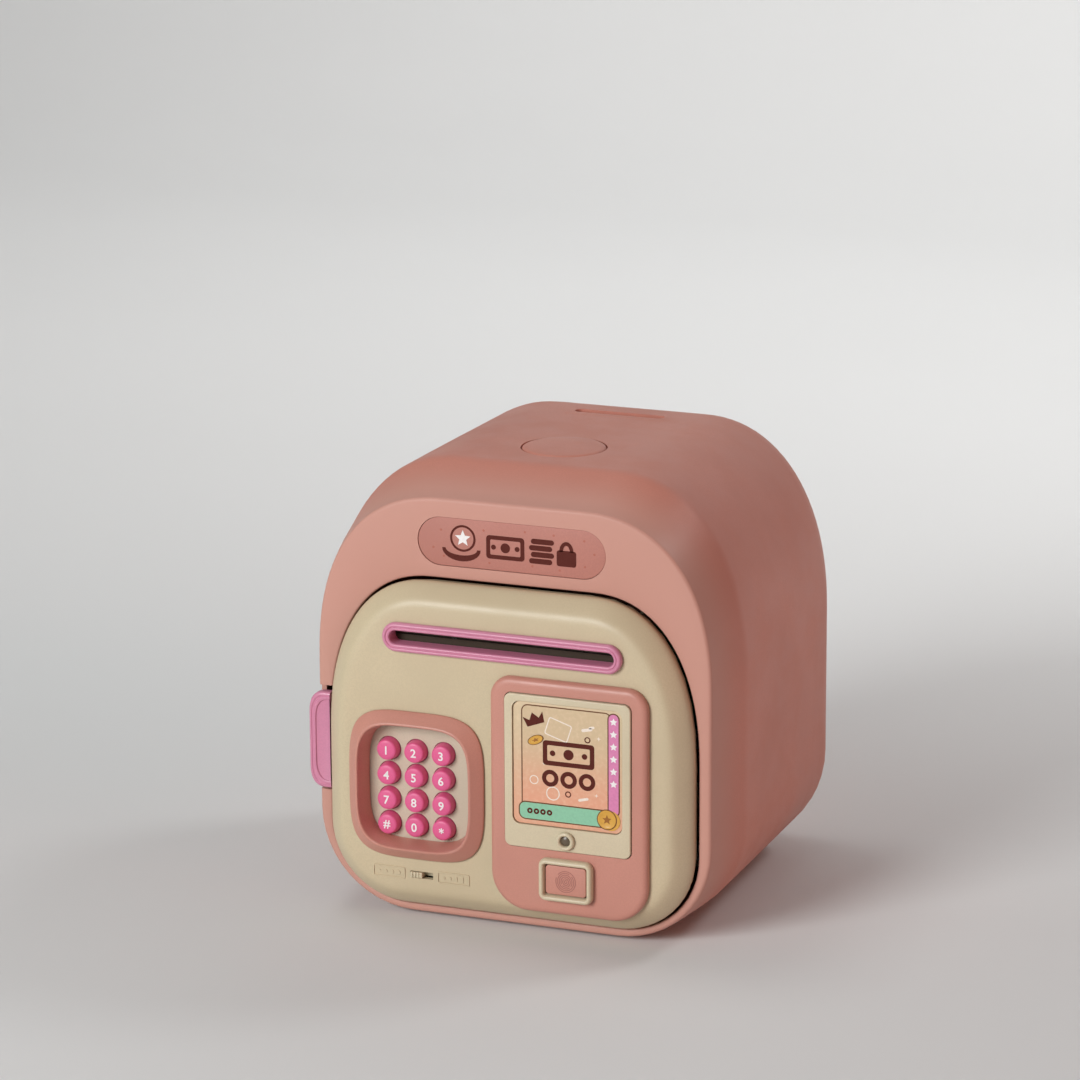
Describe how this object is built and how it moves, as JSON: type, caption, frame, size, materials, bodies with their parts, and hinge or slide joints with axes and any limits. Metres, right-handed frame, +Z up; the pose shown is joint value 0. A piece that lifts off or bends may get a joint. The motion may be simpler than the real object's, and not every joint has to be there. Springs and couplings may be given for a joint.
{
  "type": "toy savings bank",
  "caption": "Toy safe-shaped savings bank: rounded housing, hinged keypad door with note slot, screen card and fingerprint pad, roof coin slot and press button.",
  "frame": {"origin": "on the ground, under the middle of the whole object's box", "axes": "+Z up; the door faces -Y; +X is to the right seen from the front"},
  "size_m": [0.16, 0.153, 0.1678],
  "materials": {
    "salmon_abs": "fine satin moulded ABS, salmon pink",
    "panel_abs": "satin moulded ABS, salmon pink, a shade brighter",
    "plaque_print": "printed satin label, darker salmon",
    "cream_abs": "satin moulded ABS, cream",
    "pink_abs": "semi-gloss moulded ABS, candy pink",
    "key_abs": "semi-gloss moulded ABS, hot pink with white printed digits",
    "card_print": "printed card, cream to peach",
    "dark_plastic": "black plastic",
    "rubber": "matt black rubber",
    "circuit_board": "green solder mask on glass-fibre board",
    "steel": "plated steel",
    "gear_acetal": "natural white acetal"
  },
  "bodies": {
    "housing": {"housing_shell": "salmon_abs", "rear_cover": "salmon_abs", "sign_plaque": "plaque_print", "battery_tray": "salmon_abs", "battery_door": "salmon_abs", "cash_floor": "cream_abs", "coin_chute": "cream_abs", "hinge_bracket_lower": "steel", "hinge_bracket_upper": "steel", "speaker": "dark_plastic", "main_board": "circuit_board", "strike_plate": "cream_abs", "button_bridge": "cream_abs", "button_switch": "dark_plastic", "foot_1": "rubber", "foot_2": "rubber", "foot_3": "rubber", "foot_4": "rubber"},
    "door": {"door_shell": "cream_abs", "door_inner_cover": "cream_abs", "hinge_pin_lower": "steel", "hinge_pin_upper": "steel", "keypad_frame": "panel_abs", "keypad_plate": "cream_abs", "key_membrane": "rubber", "keypad_board": "circuit_board", "note_slot_bezel": "pink_abs", "display_panel": "panel_abs", "screen_bezel": "cream_abs", "screen_card": "card_print", "lamp_ring": "cream_abs", "lamp_lens": "dark_plastic", "fingerprint_frame": "cream_abs", "slide_switch": "dark_plastic", "pull_tab": "pink_abs", "feeder_frame": "cream_abs", "feed_motor": "steel"},
    "top_button": {"top_button": "salmon_abs"},
    "key_1": {"key_1": "key_abs"},
    "key_2": {"key_2": "key_abs"},
    "key_3": {"key_3": "key_abs"},
    "key_4": {"key_4": "key_abs"},
    "key_5": {"key_5": "key_abs"},
    "key_6": {"key_6": "key_abs"},
    "key_7": {"key_7": "key_abs"},
    "key_8": {"key_8": "key_abs"},
    "key_9": {"key_9": "key_abs"},
    "key_hash": {"key_hash": "key_abs"},
    "key_0": {"key_0": "key_abs"},
    "key_star": {"key_star": "key_abs"},
    "fingerprint_pad": {"fingerprint_pad": "panel_abs"},
    "switch_knob": {"switch_knob": "cream_abs"},
    "lock_bolt": {"lock_bolt": "steel"},
    "feed_drum": {"feed_shaft": "steel", "feed_roller": "rubber", "feed_gear": "gear_acetal"},
    "pinch_drum": {"pinch_shaft": "steel", "pinch_roller": "rubber", "pinch_gear": "gear_acetal"},
    "motor_rotor": {"motor_pinion": "gear_acetal"}
  },
  "joints": [
    {"name": "door_hinge", "type": "hinge", "parent": "housing", "child": "door", "pos_m": [0.047, -0.0623, 0.0495], "axis": [0, 0, 1], "range_deg": [0, 90]},
    {"name": "top_button_press", "type": "slide", "parent": "housing", "child": "top_button", "axis": [0, 0, -1], "range_m": [0, 0.002], "stiffness_N_per_m": 200, "springref_m": -0.002},
    {"name": "key_1_press", "type": "slide", "parent": "door", "child": "key_1", "axis": [0, 1, 0], "range_m": [0, 0.0015], "stiffness_N_per_m": 150, "springref_m": -0.001},
    {"name": "key_2_press", "type": "slide", "parent": "door", "child": "key_2", "axis": [0, 1, 0], "range_m": [0, 0.0015], "stiffness_N_per_m": 150, "springref_m": -0.001},
    {"name": "key_3_press", "type": "slide", "parent": "door", "child": "key_3", "axis": [0, 1, 0], "range_m": [0, 0.0015], "stiffness_N_per_m": 150, "springref_m": -0.001},
    {"name": "key_4_press", "type": "slide", "parent": "door", "child": "key_4", "axis": [0, 1, 0], "range_m": [0, 0.0015], "stiffness_N_per_m": 150, "springref_m": -0.001},
    {"name": "key_5_press", "type": "slide", "parent": "door", "child": "key_5", "axis": [0, 1, 0], "range_m": [0, 0.0015], "stiffness_N_per_m": 150, "springref_m": -0.001},
    {"name": "key_6_press", "type": "slide", "parent": "door", "child": "key_6", "axis": [0, 1, 0], "range_m": [0, 0.0015], "stiffness_N_per_m": 150, "springref_m": -0.001},
    {"name": "key_7_press", "type": "slide", "parent": "door", "child": "key_7", "axis": [0, 1, 0], "range_m": [0, 0.0015], "stiffness_N_per_m": 150, "springref_m": -0.001},
    {"name": "key_8_press", "type": "slide", "parent": "door", "child": "key_8", "axis": [0, 1, 0], "range_m": [0, 0.0015], "stiffness_N_per_m": 150, "springref_m": -0.001},
    {"name": "key_9_press", "type": "slide", "parent": "door", "child": "key_9", "axis": [0, 1, 0], "range_m": [0, 0.0015], "stiffness_N_per_m": 150, "springref_m": -0.001},
    {"name": "key_hash_press", "type": "slide", "parent": "door", "child": "key_hash", "axis": [0, 1, 0], "range_m": [0, 0.0015], "stiffness_N_per_m": 150, "springref_m": -0.001},
    {"name": "key_0_press", "type": "slide", "parent": "door", "child": "key_0", "axis": [0, 1, 0], "range_m": [0, 0.0015], "stiffness_N_per_m": 150, "springref_m": -0.001},
    {"name": "key_star_press", "type": "slide", "parent": "door", "child": "key_star", "axis": [0, 1, 0], "range_m": [0, 0.0015], "stiffness_N_per_m": 150, "springref_m": -0.001},
    {"name": "fingerprint_press", "type": "slide", "parent": "door", "child": "fingerprint_pad", "axis": [0, 1, 0], "range_m": [0, 0.0007], "stiffness_N_per_m": 200, "springref_m": -0.001},
    {"name": "voice_switch_slide", "type": "slide", "parent": "door", "child": "switch_knob", "axis": [1, 0, 0], "range_m": [0, 0.0038]},
    {"name": "lock_bolt_slide", "type": "slide", "parent": "door", "child": "lock_bolt", "axis": [-1, 0, 0], "range_m": [0, 0.0035]},
    {"name": "feed_spin", "type": "hinge", "parent": "door", "child": "feed_drum", "pos_m": [0, -0.0495, 0.1023], "axis": [1, 0, 0], "continuous": true},
    {"name": "pinch_spin", "type": "hinge", "parent": "door", "child": "pinch_drum", "pos_m": [0, -0.0495, 0.1143], "axis": [1, 0, 0], "continuous": true},
    {"name": "motor_spin", "type": "hinge", "parent": "door", "child": "motor_rotor", "pos_m": [0, -0.0495, 0.09255], "axis": [1, 0, 0], "continuous": true}
  ],
  "couplings": [
    {"joint": "pinch_spin", "follows": "feed_spin", "ratio": -1},
    {"joint": "motor_spin", "follows": "feed_spin", "ratio": -1.6}
  ]
}
